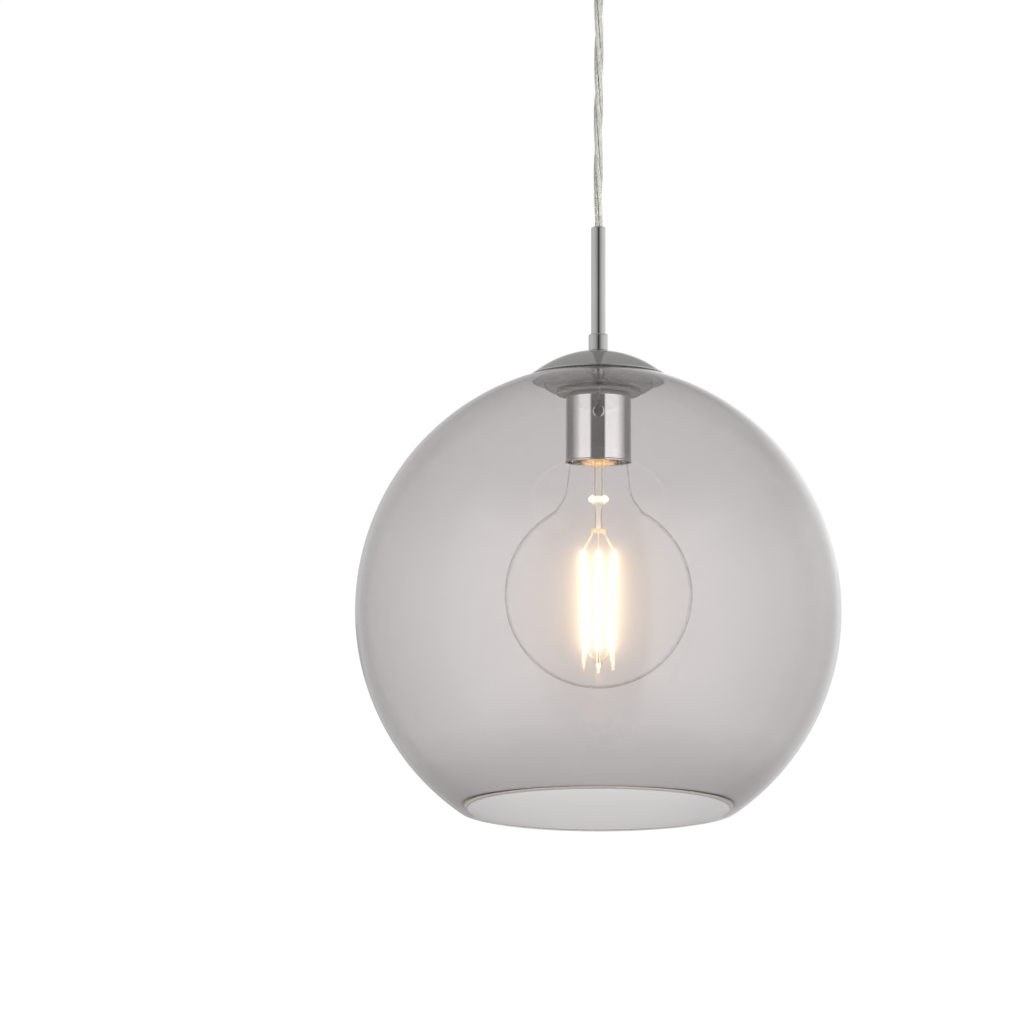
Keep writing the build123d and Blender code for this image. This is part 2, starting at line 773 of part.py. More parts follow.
# ---- lamp: glass mount inside the envelope ----
mount_radius = 4.0
pinch_height = mid + 70.0
arbor_low = mid + 51.0
crown_height = mid + 50.0

with BuildPart() as lamp_mount:
    with BuildSketch(Plane.XZ):
        with BuildLine():
            Polyline(
                (0, neck_top - 1.6),
                (neck_radius - lamp_wall - 0.2, neck_top - 1.6),
                (neck_radius - lamp_wall - 0.2, neck_top - 2.8),
                (mount_radius + 1.5, neck_top - 6.0),
                (mount_radius, neck_top - 10.0),
                (mount_radius, pinch_height + 3.0),
                (2.4, pinch_height - 2.5),
                (2.2, pinch_height - 6.0),
                (1.3, arbor_low + 1.5),
                (1.3, arbor_low),
                (0, arbor_low),
                close=True,
            )
        make_face()
    revolve(axis=Axis.Z)
    with BuildSketch(Plane.XY.offset(pinch_height - 2.0)):
        RectangleRounded(12.5, 3.6, 1.6)
    extrude(amount=4.0)
lamp_mount.part.label = "lamp_mount"
export_step(lamp_mount.part, "parts/lamp_mount.step")

# ---- lamp: crown, supports and filaments ----
filament_count = 6
filament_radius = 1.0
filament_top_ring = 11.4
filament_low_ring = 9.0
filament_top = mid + 37.0
filament_low = mid - 24.0
wire_radius = 0.35
crown_radius = 4.8
tip_height = mid - 34.0

make_tube("lamp_crown", 0, crown_radius, crown_height - 0.6, crown_height + 1.0)


def make_fan(label, ring_from, height_from, ring_to, height_to, radius):
    """Equal rods round the axis, each from one ring to another ring at another height."""
    with BuildPart() as fan:
        for step in range(filament_count):
            angle = math.radians(360 * step / filament_count)
            start = Vector(ring_from * math.sin(angle), ring_from * math.cos(angle), height_from)
            end = Vector(ring_to * math.sin(angle), ring_to * math.cos(angle), height_to)
            with BuildSketch(Plane(origin=start, z_dir=end - start)):
                Circle(radius)
            extrude(amount=(end - start).length)
    fan.part.label = label
    export_step(fan.part, f"parts/{label}.step")


make_fan(
    "filament_hangers",
    crown_radius - 0.8,
    crown_height - 0.8,
    filament_top_ring,
    filament_top + 0.3,
    wire_radius,
)
make_fan(
    "filaments",
    filament_top_ring,
    filament_top,
    filament_low_ring,
    filament_low,
    filament_radius,
)
make_fan(
    "filament_tails",
    filament_low_ring,
    filament_low - 0.3,
    1.9,
    tip_height + 1.4,
    wire_radius,
)

with BuildPart() as lamp_foot:
    with BuildSketch(Plane.XZ):
        with Locations((0, tip_height)):
            Circle(1.6)
            Rectangle(4, 4, align=(Align.MAX, Align.CENTER), mode=Mode.SUBTRACT)
    revolve(axis=Axis.Z)
lamp_foot.part.label = "lamp_foot"
export_step(lamp_foot.part, "parts/lamp_foot.step")

# ---- lamp: driver board and leads in the neck ----
board_low = neck_top - 1.4
board_top = cap_top - 2.0

with BuildPart() as driver_board:
    with BuildSketch(Plane.XY.offset(board_low)):
        Rectangle(15.0, 1.4)
        with Locations((0, 2.2)):
            Rectangle(7.0, 3.0)
    extrude(amount=board_top - board_low)
driver_board.part.label = "driver_board"
export_step(driver_board.part, "parts/driver_board.step")

# ---- lamp: E27 cap ----
cap_sheet = 0.4
insulator_top = 5.6

with BuildPart() as lamp_cap:
    with BuildSketch(Plane.XZ):
        with BuildLine():
            Polyline(
                (neck_radius + 0.05, cap_low),
                (cap_radius, cap_low),
                (cap_radius, cap_top - 1.0),
                (cap_radius - 1.4, cap_top),
                (cap_radius - 1.8, cap_top - 0.3),
                (cap_radius - cap_sheet, cap_top - 1.3),
                (neck_radius + 0.05, cap_top - 2.0),
                close=True,
            )
        make_face()
    revolve(axis=Axis.Z)
lamp_cap.part.label = "lamp_cap"
export_step(lamp_cap.part, "parts/lamp_cap.step")

with BuildPart() as cap_insulator:
    with BuildSketch(Plane.XZ):
        with BuildLine():
            Polyline(
                (0, cap_top - 1.6),
                (cap_radius - 2.2, cap_top - 1.6),
                (cap_radius - 2.2, cap_top),
                (insulator_top, lamp_tip - 1.4),
                (0, lamp_tip - 1.4),
                close=True,
            )
        make_face()
    revolve(axis=Axis.Z)
cap_insulator.part.label = "cap_insulator"
export_step(cap_insulator.part, "parts/cap_insulator.step")

with BuildPart() as cap_eyelet:
    with BuildSketch(Plane.XY.offset(lamp_tip - 1.3)):
        Circle(4.6)
    extrude(amount=1.3)
    fillet(cap_eyelet.edges().filter_by(GeomType.CIRCLE).sort_by(Axis.Z)[-1], radius=0.9)
cap_eyelet.part.label = "cap_eyelet"
export_step(cap_eyelet.part, "parts/cap_eyelet.step")
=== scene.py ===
import math

import bmesh
import bpy
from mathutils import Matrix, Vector


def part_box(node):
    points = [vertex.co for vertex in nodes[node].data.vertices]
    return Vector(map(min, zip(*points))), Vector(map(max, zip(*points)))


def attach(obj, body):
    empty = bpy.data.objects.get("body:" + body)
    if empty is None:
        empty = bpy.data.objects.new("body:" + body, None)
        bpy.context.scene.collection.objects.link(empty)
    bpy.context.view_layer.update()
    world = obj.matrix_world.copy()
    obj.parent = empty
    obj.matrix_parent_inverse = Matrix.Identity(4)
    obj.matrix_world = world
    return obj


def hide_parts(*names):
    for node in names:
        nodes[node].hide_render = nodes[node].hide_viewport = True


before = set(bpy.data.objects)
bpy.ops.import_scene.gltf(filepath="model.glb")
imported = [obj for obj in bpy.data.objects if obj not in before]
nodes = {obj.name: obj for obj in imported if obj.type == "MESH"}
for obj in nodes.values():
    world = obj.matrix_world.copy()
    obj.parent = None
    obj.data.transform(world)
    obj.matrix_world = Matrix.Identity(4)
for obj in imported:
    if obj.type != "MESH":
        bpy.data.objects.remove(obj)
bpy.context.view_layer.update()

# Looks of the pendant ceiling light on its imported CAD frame. Metres, +Z up, the ceiling at z = 0.
MM = 0.001

# ---------------------------------------------------------------- places read from the frame
globe_low, globe_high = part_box("glass_globe")
stem_low, stem_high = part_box("stem_tube")
collar_low, collar_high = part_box("stem_collar")
dome_low, dome_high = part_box("dome_cap")
cup_low, cup_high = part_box("lamp_cup")
bulb_low, bulb_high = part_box("lamp_envelope")
rose_low, rose_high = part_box("ceiling_rose")
flex_low, flex_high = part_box("flex_drop")
cap_low, cap_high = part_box("lamp_cap")

GLOBE_RADIUS = globe_high.x
RIM_DROP = 123.6 * MM                      # how far the glass's rim lies below its middle
MID = globe_low.z + RIM_DROP               # height of the globe's middle
FLEX_RADIUS = flex_high.x
STEM_RADIUS = stem_high.x
COLLAR_RADIUS = collar_high.x
CUP_RADIUS = 20.4 * MM
BULB_RADIUS = bulb_high.x
BULB_MID = bulb_low.z + BULB_RADIUS
ROSE_RADIUS = rose_high.x

# ---------------------------------------------------------------- camera
VIEW_DISTANCE = 0.8545                     # from the camera to the drop axis
EYE_ABOVE_MID = 6.3 * MM
LENS = 48.02
SENSOR_WIDTH = 36.0
SHIFT_ACROSS = -0.08447                    # the light hangs right of the frame's middle, in frame widths
SHIFT_UP = 0.08691
camera_data = bpy.data.cameras.new("camera")
camera_data.lens = LENS
camera_data.sensor_width = SENSOR_WIDTH
camera_data.shift_x = SHIFT_ACROSS
camera_data.shift_y = SHIFT_UP
camera = bpy.data.objects.new("camera", camera_data)
camera.location = (0, -VIEW_DISTANCE, MID + EYE_ABOVE_MID)
camera.rotation_euler = (math.pi / 2, 0, 0)
bpy.context.scene.collection.objects.link(camera)
bpy.context.scene.camera = camera


# ---------------------------------------------------------------- materials
class Paint:
    """A node material: a principled shader with helpers for noise, mixing and bump."""

    def __init__(self, name, colour, roughness, metallic=0.0, **sockets):
        self.material = bpy.data.materials.new(name)
        self.material.use_nodes = True
        self.tree = self.material.node_tree
        self.shader = self.tree.nodes["Principled BSDF"]
        self.shader.inputs["Base Color"].default_value = (*colour, 1)
        self.shader.inputs["Roughness"].default_value = roughness
        self.shader.inputs["Metallic"].default_value = metallic
        for socket, value in sockets.items():
            self.shader.inputs[socket.replace("_", " ")].default_value = value
        self.place = self.tree.nodes.new("ShaderNodeTexCoord").outputs["Object"]

    def link(self, source, target):
        self.tree.links.new(source, target)

    def stretched(self, scale):
        """The object's coordinates, stretched along its axes."""
        mapping = self.tree.nodes.new("ShaderNodeMapping")
        mapping.inputs["Scale"].default_value = scale
        self.link(self.place, mapping.inputs["Vector"])
        return mapping.outputs["Vector"]

    def noise(self, scale, detail=3.0, stretch=None):
        node = self.tree.nodes.new("ShaderNodeTexNoise")
        node.inputs["Scale"].default_value = scale
        node.inputs["Detail"].default_value = detail
        self.link(self.stretched(stretch) if stretch else self.place, node.inputs["Vector"])
        return node.outputs["Fac"]

    def height(self, low, high):
        """A factor that goes from 0 to 1 between two heights."""
        axes = self.tree.nodes.new("ShaderNodeSeparateXYZ")
        self.link(self.place, axes.inputs["Vector"])
        factor = self.tree.nodes.new("ShaderNodeMapRange")
        factor.inputs["From Min"].default_value = low
        factor.inputs["From Max"].default_value = high
        self.link(axes.outputs["Z"], factor.inputs["Value"])
        return factor.outputs["Result"]

    def ramp(self, source, stops):
        """A colour ramp over a value; a stop is (position, grey) or (position, (r, g, b))."""
        node = self.tree.nodes.new("ShaderNodeValToRGB")
        elements = node.color_ramp.elements
        while len(elements) < len(stops):
            elements.new(0.5)
        for element, (position, tone) in zip(elements, stops):
            element.position = position
            element.color = (*tone, 1) if isinstance(tone, tuple) else (tone, tone, tone, 1)
        self.link(source, node.inputs["Fac"])
        return node.outputs["Color"]

    def vary(self, socket, source, stops):
        self.link(self.ramp(source, stops), self.shader.inputs[socket])

    def bump(self, source, strength, distance):
        node = self.tree.nodes.new("ShaderNodeBump")
        node.inputs["Strength"].default_value = strength
        node.inputs["Distance"].default_value = distance
        previous = self.shader.inputs["Normal"].links
        if previous:
            self.link(previous[0].from_socket, node.inputs["Normal"])
        self.link(source, node.inputs["Height"])
        self.link(node.outputs["Normal"], self.shader.inputs["Normal"])


def set_socket(material, socket, value):
    """Give one shader socket of a finished material a constant."""
    material.node_tree.nodes["Principled BSDF"].inputs[socket].default_value = value


def metal(name, light, dark, roughness, grain=(60, 60, 60), bump=0.05):
    """A plated or machined metal with faint streaks, small marks and uneven gloss."""
    paint = Paint(name, light, roughness, metallic=1.0)
    streaks = paint.noise(12, 4, grain)
    paint.vary("Base Color", streaks, [(0.35, dark), (0.62, light)])
    paint.vary("Roughness", paint.noise(260, 5), [(0.3, roughness * 0.8), (0.75, roughness * 1.5)])
    paint.bump(streaks, bump, 0.00003)
    return paint.material


def plastic(name, colour, roughness, mottle=0.92, **sockets):
    """A moulded plastic or rubber with a faint mottle and a fine moulded skin."""
    paint = Paint(name, colour, roughness, **sockets)
    darker = tuple(channel * mottle for channel in colour)
    paint.vary("Base Color", paint.noise(180, 4), [(0.3, darker), (0.7, colour)])
    paint.vary("Roughness", paint.noise(420, 2), [(0.3, roughness * 0.85), (0.7, roughness * 1.2)])
    paint.bump(paint.noise(1600, 2), 0.12, 0.00005)
    return paint.material


def glass(name, tint, roughness, waves, wave_depth, ior):
    """Clear glass or plastic with a faint uneven tint and slow waves from its making."""
    paint = Paint(name, tint, roughness, Transmission_Weight=1.0, IOR=ior)
    deeper = tuple(0.985 * channel for channel in tint)
    paint.vary("Base Color", paint.noise(waves, 2), [(0.25, deeper), (0.75, tint)])
    paint.bump(paint.noise(waves, 2), 0.35, wave_depth)
    return paint.material


TINT_CLIMB = 70 * MM                       # height over which the globe's painted shade eases off above its rim


def shade_tinted_globe():
    """The globe's glass: clear glass tinted a warm light grey as painted shade, deeper towards the rim,
    with the slow waves of blown glass.
    """
    paint = Paint("globe_glass", (0.76, 0.76, 0.76), 0.0, Transmission_Weight=1.0, IOR=1.47)
    climb = paint.height(globe_low.z, globe_low.z + TINT_CLIMB)
    waviness = paint.noise(7, 2)
    mottle = paint.tree.nodes.new("ShaderNodeMath")
    mottle.operation = "MULTIPLY_ADD"
    mottle.inputs[1].default_value = 0.03
    paint.link(waviness, mottle.inputs[0])
    paint.link(climb, mottle.inputs[2])
    # painted shade: a grey on the clear glass, deepest at the rim and easing off above it
    paint.vary("Base Color", mottle.outputs["Value"], [
        (0.0, (0.615, 0.597, 0.599)), (0.28, (0.645, 0.626, 0.628)), (0.62, (0.765, 0.745, 0.747)),
        (1.0, (0.755, 0.735, 0.737)),
    ])
    paint.bump(waviness, 0.35, 0.0005)
    return paint.material


# one chrome in two copies: the lighter copy is painted light, the darker copy is painted shade
chrome_painted_light = metal("chrome_painted_light", (0.93, 0.93, 0.925), (0.90, 0.90, 0.895), 0.03, (1, 1, 3), 0.01)
chrome_painted_shade = metal("chrome_painted_shade", (0.64, 0.64, 0.635), (0.61, 0.61, 0.605), 0.04, (1, 1, 3), 0.01)
zinc = metal("zinc_plate", (0.62, 0.63, 0.64), (0.45, 0.46, 0.47), 0.28, (8, 8, 40), 0.25)
brass = metal("machined_brass", (0.78, 0.58, 0.27), (0.62, 0.43, 0.18), 0.22, (6, 6, 60), 0.2)
nickel = metal("nickel_plate", (0.74, 0.70, 0.64), (0.60, 0.56, 0.50), 0.2, (4, 4, 50), 0.15)
wire = metal("bright_wire", (0.80, 0.77, 0.72), (0.62, 0.60, 0.56), 0.15, (20, 20, 20), 0.1)
solder = metal("solder", (0.68, 0.68, 0.69), (0.45, 0.45, 0.47), 0.35, (30, 30, 30), 0.5)
tinned = metal("tinned_copper", (0.93, 0.93, 0.91), (0.80, 0.80, 0.77), 0.3, (40, 40, 20), 0.2)
greenish = metal("tinted_strands", (0.91, 0.90, 0.85), (0.79, 0.78, 0.70), 0.3, (40, 40, 20), 0.2)
for strand_metal in (tinned, greenish):
    set_socket(strand_metal, "Metallic", 0.45)
nylon = plastic("white_nylon", (0.82, 0.80, 0.75), 0.42)
board = plastic("circuit_board", (0.05, 0.19, 0.09), 0.35)
brown_core = plastic("core_brown", (0.20, 0.08, 0.03), 0.32)
blue_core = plastic("core_blue", (0.04, 0.12, 0.42), 0.32)
porcelain = plastic("glazed_porcelain", (0.84, 0.82, 0.77), 0.12, Coat_Weight=0.6, Coat_Roughness=0.05)
vitrite = plastic("black_vitrite", (0.012, 0.012, 0.016), 0.08, Coat_Weight=0.5)
silicone = plastic("clear_silicone", (0.88, 0.88, 0.87), 0.2, 0.97, Transmission_Weight=0.1, IOR=1.35)
globe_glass = shade_tinted_globe()
lamp_glass = glass("lamp_glass", (0.995, 0.995, 0.99), 0.0, 16, 0.0001, 1.02)
set_socket(lamp_glass, "Alpha", 0.5)        # the lamp's thin glass hardly shows


# the ground rim's pale finish with a faint painted glow, which makes the rim a light line
ground_rim_painted_glow = plastic("ground_rim_with_painted_glow", (0.80, 0.79, 0.79), 0.45, 0.97, Emission_Strength=0.22)
set_socket(ground_rim_painted_glow, "Emission Color", (0.95, 0.93, 0.93, 1))


MOUNT_FOOT = MID + 50 * MM
MOUNT_FLARE = MID + 100 * MM


def painted_glow_mount():
    """The lamp's glass mount, with a painted warm glow at its pinch and its ends that stands in for the
    filaments' light.
    """
    clear = dict(Transmission_Weight=1.0, IOR=1.4, Emission_Strength=0.9)
    paint = Paint("mount_glass_painted_glow", (0.97, 0.97, 0.95), 0.03, **clear)
    # painted glow: the filaments' warm light, brightest at the foot, the pinch and the flare
    paint.vary("Emission Color", paint.height(MOUNT_FOOT, MOUNT_FLARE), [
        (0.0, (0.80, 0.58, 0.30)), (0.08, (0.20, 0.13, 0.07)), (0.36, (0.10, 0.07, 0.04)),
        (0.38, (0.90, 0.72, 0.44)), (0.42, (0.90, 0.72, 0.44)), (0.45, (0.05, 0.04, 0.03)),
        (0.80, (0.05, 0.04, 0.02)), (0.90, (0.42, 0.25, 0.09)), (1.0, (0.32, 0.15, 0.05)),
    ])
    paint.bump(paint.noise(300, 2), 0.3, 0.0002)
    return paint.material


mount_glass_painted_glow = painted_glow_mount()
clear_pvc = glass("clear_pvc", (0.975, 0.975, 0.955), 0.03, 300, 0.0001, 1.3)


def striped_core():
    """Green insulation with a lengthwise yellow stripe, for the earth core."""
    paint = Paint("core_green_yellow", (0.1, 0.4, 0.08), 0.32)
    wave = paint.tree.nodes.new("ShaderNodeTexWave")
    wave.inputs["Scale"].default_value = 140
    wave.inputs["Distortion"].default_value = 0.4
    paint.link(paint.place, wave.inputs["Vector"])
    paint.vary("Base Color", wave.outputs["Fac"], [(0.48, (0.09, 0.36, 0.06)), (0.52, (0.80, 0.66, 0.05))])
    paint.bump(paint.noise(1500, 2), 0.1, 0.00005)
    return paint.material


def glowing_filament():
    """A lit filament stick: a phosphor skin, yellower between its chips."""
    paint = Paint("lit_filament", (0.9, 0.62, 0.25), 0.5, Emission_Strength=110.0)
    chips = paint.noise(900, 2, (1, 1, 0.5))
    paint.vary("Emission Color", chips, [(0.3, (1.0, 0.60, 0.26)), (0.65, (1.0, 0.76, 0.46))])
    paint.vary("Base Color", chips, [(0.3, (0.80, 0.50, 0.16)), (0.7, (0.92, 0.68, 0.30))])
    paint.bump(chips, 0.3, 0.0001)
    return paint.material


# crown and hanger wires with a painted warm glow that stands in for the filaments' light
painted_glow_wire = metal("painted_glow_wire", (0.86, 0.74, 0.56), (0.76, 0.62, 0.44), 0.25, (20, 20, 20), 0.1)
set_socket(painted_glow_wire, "Emission Color", (1.0, 0.74, 0.42, 1))
set_socket(painted_glow_wire, "Emission Strength", 0.8)
green_core = striped_core()
filament_light = glowing_filament()


# ---------------------------------------------------------------- mesh helpers
ROUND_SEGMENTS = 160                       # sides of the dome, the cup and the lamp glass


def add_mesh(name, bm, material, sharp_angle=38, wound=True):
    """Finish a bmesh as an object: outward faces, smooth shading with sharp edges past an angle.

    A wound mesh already has its faces turned one way, so at most all of them are flipped."""
    if not wound:
        bmesh.ops.recalc_face_normals(bm, faces=bm.faces)
    elif bm.calc_volume(signed=True) < 0:
        bmesh.ops.reverse_faces(bm, faces=bm.faces)
    for face in bm.faces:
        face.smooth = True
    for edge in bm.edges:
        edge.smooth = edge.calc_face_angle(0) < math.radians(sharp_angle)
    mesh = bpy.data.meshes.new(name)
    bm.to_mesh(mesh)
    bm.free()
    obj = bpy.data.objects.new(name, mesh)
    obj.data.materials.append(material)
    bpy.context.scene.collection.objects.link(obj)
    return obj


def add_lathe(bm, profile, segments, closed=True, twist=None):
    """Spin (radius, height) points round the drop axis; twist gives each ring angle an offset in radius."""
    rings = []
    for radius, height in profile:
        if radius < 1e-6:
            rings.append([bm.verts.new((0, 0, height))] * segments)
            continue
        ring = []
        for step in range(segments):
            angle = 2 * math.pi * step / segments
            reach = radius + (twist(radius, angle, height) if twist else 0)
            ring.append(bm.verts.new((reach * math.cos(angle), reach * math.sin(angle), height)))
        rings.append(ring)
    pairs = list(zip(rings, rings[1:]))
    if closed:
        pairs.append((rings[-1], rings[0]))
    for lower, upper in pairs:
        for step in range(segments):
            after = (step + 1) % segments
            corners = [lower[step], lower[after], upper[after], upper[step]]
            unique = list(dict.fromkeys(corners))
            if len(unique) > 2:
                bm.faces.new(unique)


def rounded(points, radii, steps=5):
    """Points of a polyline with each inner corner turned into a small curve of the radius given for it."""
    result = [points[0]]
    for before, corner, after, radius in zip(points, points[1:], points[2:], radii):
        here = Vector(corner)
        to_before = Vector(before) - here
        to_after = Vector(after) - here
        reach_in = min(radius, to_before.length * 0.49)
        reach_out = min(radius, to_after.length * 0.49)
        start = here + to_before.normalized() * reach_in
        end = here + to_after.normalized() * reach_out
        for step in range(steps + 1):
            t = step / steps
            point = start * (1 - t) ** 2 + here * 2 * t * (1 - t) + end * t ** 2
            result.append((point.x, point.y))
    return result + [points[-1]]


def weigh_normals(piece):
    """Shade large faces flat, so that only the small rounded corners bend the reflections."""
    weights = piece.modifiers.new("weighted_normals", "WEIGHTED_NORMAL")
    weights.weight = 50
    weights.keep_sharp = True


def turned(name, outline, radii, material, body, slot, *replaced, segments=128):
    """A spun or turned piece: a closed outline with softened corners, spun about the drop axis."""
    loop = [outline[-1], *outline, outline[0]]
    profile = rounded(loop, radii)[1:-1]
    bm = bmesh.new()
    add_lathe(bm, profile, segments)
    piece = add_mesh(name, bm, material)
    weigh_normals(piece)
    return settle(piece, body, slot, *replaced)


def settle(piece, body, slot, *replaced):
    """Attach a piece to its body and hide the CAD nodes it stands for; its finish, the slot, is not used.
    """
    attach(piece, body)
    if replaced:
        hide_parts(*replaced)
    return piece


def tube_mesh(name, path, radius, sides, material, caps=True):
    """A round tube along a list of points, with its rings kept from twisting."""
    bm = bmesh.new()
    rings = []
    side = Vector((1, 0, 0))
    for index, point in enumerate(path):
        ahead = path[min(index + 1, len(path) - 1)] - path[max(index - 1, 0)]
        ahead.normalize()
        side = (side - ahead * side.dot(ahead)).normalized()
        up = ahead.cross(side)
        ring = []
        for step in range(sides):
            angle = 2 * math.pi * step / sides
            ring.append(bm.verts.new(point + (side * math.cos(angle) + up * math.sin(angle)) * radius))
        rings.append(ring)
    for lower, upper in zip(rings, rings[1:]):
        for step in range(sides):
            after = (step + 1) % sides
            bm.faces.new((lower[step], lower[after], upper[after], upper[step]))
    if caps:
        bm.faces.new(rings[0])
        bm.faces.new(rings[-1])
    return add_mesh(name, bm, material, wound=False)


# ---------------------------------------------------------------- the flex, a free cord
FLEX_TOP = (0, 0, flex_high.z)
flex_route = [FLEX_TOP, (0.0004, 0, -0.085), (-0.0004, 0, -0.150), (0, 0, flex_low.z)]
flex_curve = bpy.data.curves.new("flex_sheath", "CURVE")
flex_curve.dimensions = "3D"
spline = flex_curve.splines.new("NURBS")
spline.points.add(len(flex_route) - 1)
for control, point in zip(spline.points, flex_route):
    control.co = (*point, 1)
spline.order_u = 3
spline.use_endpoint_u = True
spline.resolution_u = 24
flex_curve.use_fill_caps = True
flex_sheath = bpy.data.objects.new("flex_sheath", flex_curve)
bpy.context.scene.collection.objects.link(flex_sheath)
flex_line = bpy.data.meshes.new_from_object(flex_sheath)
flex_path = [vertex.co.copy() for vertex in flex_line.vertices]
flex_curve.bevel_depth = FLEX_RADIUS
flex_curve.bevel_resolution = 8
flex_curve.materials.append(clear_pvc)
settle(flex_sheath, "flex", "clear_flex", "flex_drop")

STRAND_LAY = 0.120                         # length of one turn of the twisted conductors
STRAND_REACH = 1.25 * MM                   # from the flex's axis to each conductor's
WIRE_REACH = 0.62 * MM                     # from a conductor's axis to its outer wires
WIRE_RADIUS = 0.30 * MM
WIRES = 6
WIRE_TURNS = 4                             # turns that the wires make round their own conductor
CONDUCTOR_STEPS = 150


def conductor_path(path, phase, reach, lay):
    """A helix of a given reach round a path that runs downwards."""
    top, low = path[0].z, path[-1].z
    points = []
    for step in range(CONDUCTOR_STEPS + 1):
        share = step / CONDUCTOR_STEPS
        place = share * (len(path) - 1)
        index = min(int(place), len(path) - 2)
        centre = path[index].lerp(path[index + 1], place - index)
        angle = phase + 2 * math.pi * share * (top - low) / lay
        points.append(centre + Vector((math.cos(angle), math.sin(angle), 0)) * reach)
    return points


def twisted_wires(name, path, phase, material):
    """One conductor: a ring of fine wires laid round a helix, joined as one piece."""
    middle = conductor_path(path, phase, STRAND_REACH, STRAND_LAY)
    parts = []
    for wire_index in range(WIRES):
        turn = 2 * math.pi * wire_index / WIRES
        points = []
        for step, point in enumerate(middle):
            angle = turn + 2 * math.pi * WIRE_TURNS * step / len(middle)
            points.append(point + Vector((math.cos(angle), math.sin(angle), 0)) * WIRE_REACH)
        parts.append(tube_mesh(f"{name}_wire", points, WIRE_RADIUS, 8, material))
    with bpy.context.temp_override(active_object=parts[0], selected_editable_objects=parts):
        bpy.ops.object.join()
    parts[0].name = name
    return parts[0]


for index, (label, material) in enumerate((("live", tinned), ("neutral", greenish), ("earth", tinned))):
    piece = twisted_wires(f"flex_conductor_{label}", flex_path, 2 * math.pi * index / 3, material)
    settle(piece, "flex", "clear_flex")

# ---------------------------------------------------------------- glass globe
GLASS_WALL = 2.5 * MM
TOP_HALF = 152.5 * MM
LOW_HALF = 151.0 * MM
SHOULDER_RADIUS = 40.0 * MM
BOWL_FLOOR = MID + 139.5 * MM
BOWL_RADIUS = 26.0 * MM
GLASS_HOLE = 13.0 * MM
SHOULDER_PULL = 6.5 * MM                   # handles of the curve from the shoulder to the bowl's floor
FLOOR_PULL = 7.0 * MM
LOW_STEPS = 40
TOP_STEPS = 48
BOWL_STEPS = 14
RIM_STEPS = 8
RIM_ROUND = 0.4 * MM


def glass_face(inset):
    """(radius, height) points of the glass's outer face, or its inner face, from its rim to its hole."""
    radius = GLOBE_RADIUS - inset
    top_half = TOP_HALF - inset
    low_half = LOW_HALF - inset
    low_angle = math.asin((globe_low.z + RIM_ROUND - MID) / low_half)
    shoulder = SHOULDER_RADIUS + inset
    top_angle = math.acos(shoulder / radius)
    points = []
    for step in range(LOW_STEPS + 1):
        angle = low_angle * (1 - step / LOW_STEPS)
        points.append((radius * math.cos(angle), MID + low_half * math.sin(angle)))
    for step in range(1, TOP_STEPS + 1):
        angle = top_angle * step / TOP_STEPS
        points.append((radius * math.cos(angle), MID + top_half * math.sin(angle)))
    start = Vector(points[-1])
    leave = Vector((-radius * math.sin(top_angle), top_half * math.cos(top_angle))).normalized()
    end = Vector((BOWL_RADIUS, BOWL_FLOOR - inset))
    first = start + leave * SHOULDER_PULL
    last = end + Vector((FLOOR_PULL, 0))
    for step in range(1, BOWL_STEPS + 1):
        t = step / BOWL_STEPS
        u = 1 - t
        point = start * u ** 3 + first * 3 * u * u * t + last * 3 * u * t * t + end * t ** 3
        points.append((point.x, point.y))
    points.append((GLASS_HOLE, BOWL_FLOOR - inset))
    return points


GLOBE_SEGMENTS = 224
GROUND_AND_GLOW_SHARE = 0.72                        # how much of the inner face's lowest ring takes the ground rim's finish and its painted glow
outer_face = glass_face(0)
inner_face = glass_face(GLASS_WALL)
inner_face.insert(1, tuple(Vector(inner_face[0]).lerp(Vector(inner_face[1]), GROUND_AND_GLOW_SHARE)))
RIM_MIDDLE = (outer_face[0][0] + inner_face[0][0]) / 2
RIM_HALF = (outer_face[0][0] - inner_face[0][0]) / 2
RIM_LEVEL = globe_low.z + RIM_ROUND
rim_bead = []
for step in range(1, RIM_STEPS):
    angle = math.pi * step / RIM_STEPS
    rim_bead.append((RIM_MIDDLE - RIM_HALF * math.cos(angle), RIM_LEVEL - RIM_ROUND * math.sin(angle)))
bm = bmesh.new()
add_lathe(bm, [*reversed(rim_bead), *outer_face, *reversed(inner_face)], GLOBE_SEGMENTS)
globe = add_mesh("globe", bm, globe_glass, sharp_angle=60)
globe.data.materials.append(ground_rim_painted_glow)
# the rim bead and the inner face's lowest ring: ground finish with a painted glow
for face in globe.data.polygons:
    within = face.center.xy.length < RIM_MIDDLE
    if face.center.z < RIM_LEVEL or (within and face.center.z < inner_face[1][1]):
        face.material_index = 1
weigh_normals(globe)
settle(globe, "pendant", "globe_glass", "glass_globe")

# ---------------------------------------------------------------- stem, collar and dome
STEM_BORE = 3.45 * MM
stem_outline = [
    (STEM_RADIUS, stem_low.z),
    (STEM_RADIUS, stem_high.z),
    (STEM_BORE, stem_high.z),
    (STEM_BORE, stem_low.z),
]
turned(
    "stem", stem_outline, [0.1 * MM, 0.5 * MM, 0.4 * MM, 0.1 * MM],
    chrome_painted_shade, "pendant", "chrome", "stem_tube",
)

COLLAR_BORE = 4.95 * MM
collar_outline = [
    (COLLAR_RADIUS, collar_low.z),
    (COLLAR_RADIUS, collar_high.z),
    (STEM_RADIUS, collar_high.z),
    (COLLAR_BORE - 0.3 * MM, collar_low.z + 5.0 * MM),
    (COLLAR_BORE, collar_low.z),
]
turned(
    "collar", collar_outline, [0.6 * MM, 0.7 * MM, 0.1 * MM, 0.1 * MM, 0.1 * MM],
    chrome_painted_shade, "pendant", "chrome", "stem_collar",
)

